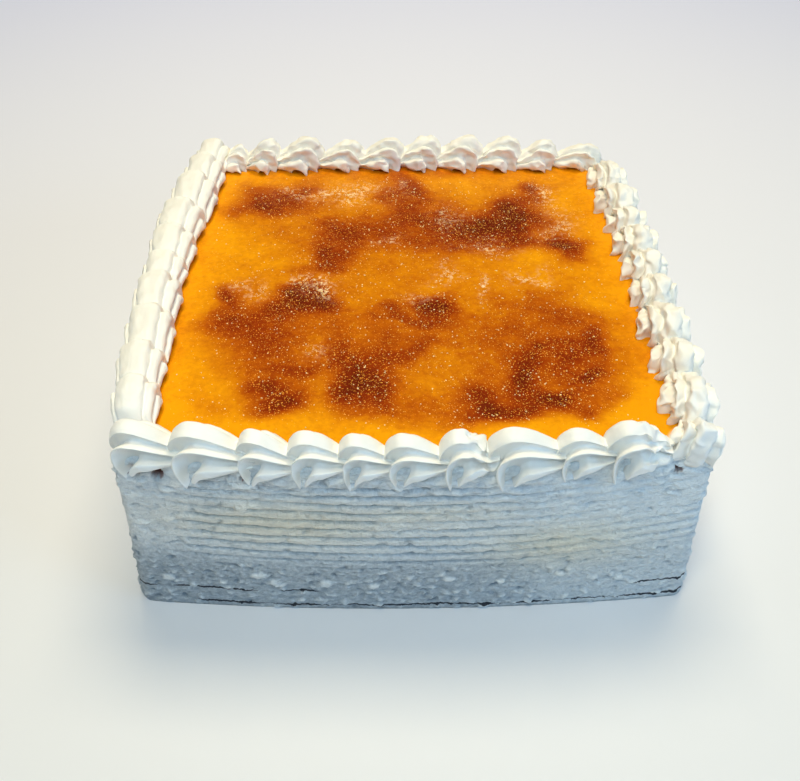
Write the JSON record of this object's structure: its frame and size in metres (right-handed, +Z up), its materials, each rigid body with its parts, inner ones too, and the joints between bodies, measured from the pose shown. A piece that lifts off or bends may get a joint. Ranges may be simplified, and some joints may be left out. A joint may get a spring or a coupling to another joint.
{
  "type": "san marcos cake",
  "caption": "Square layered cake coated in combed whipped cream, topped with toasted egg yolk and edged with piped cream shells.",
  "frame": {"origin": "centre of the base, on the surface the cake stands on", "axes": "+Z up; -Y is the front side that the camera faces; +X to the right"},
  "size_m": [0.2279, 0.2324, 0.0927],
  "materials": {
    "whipped_cream": "matte whipped cream, combed, with torn flecks",
    "piped_cream": "smooth satin whipped cream",
    "toasted_yolk": "glossy sweet yolk with burnt patches and sugar grains"
  },
  "bodies": {
    "root": {"cake_body": "whipped_cream", "yolk_top": "toasted_yolk", "border_front": "piped_cream", "border_right": "piped_cream", "border_back": "piped_cream", "border_left": "piped_cream"}
  },
  "joints": []
}
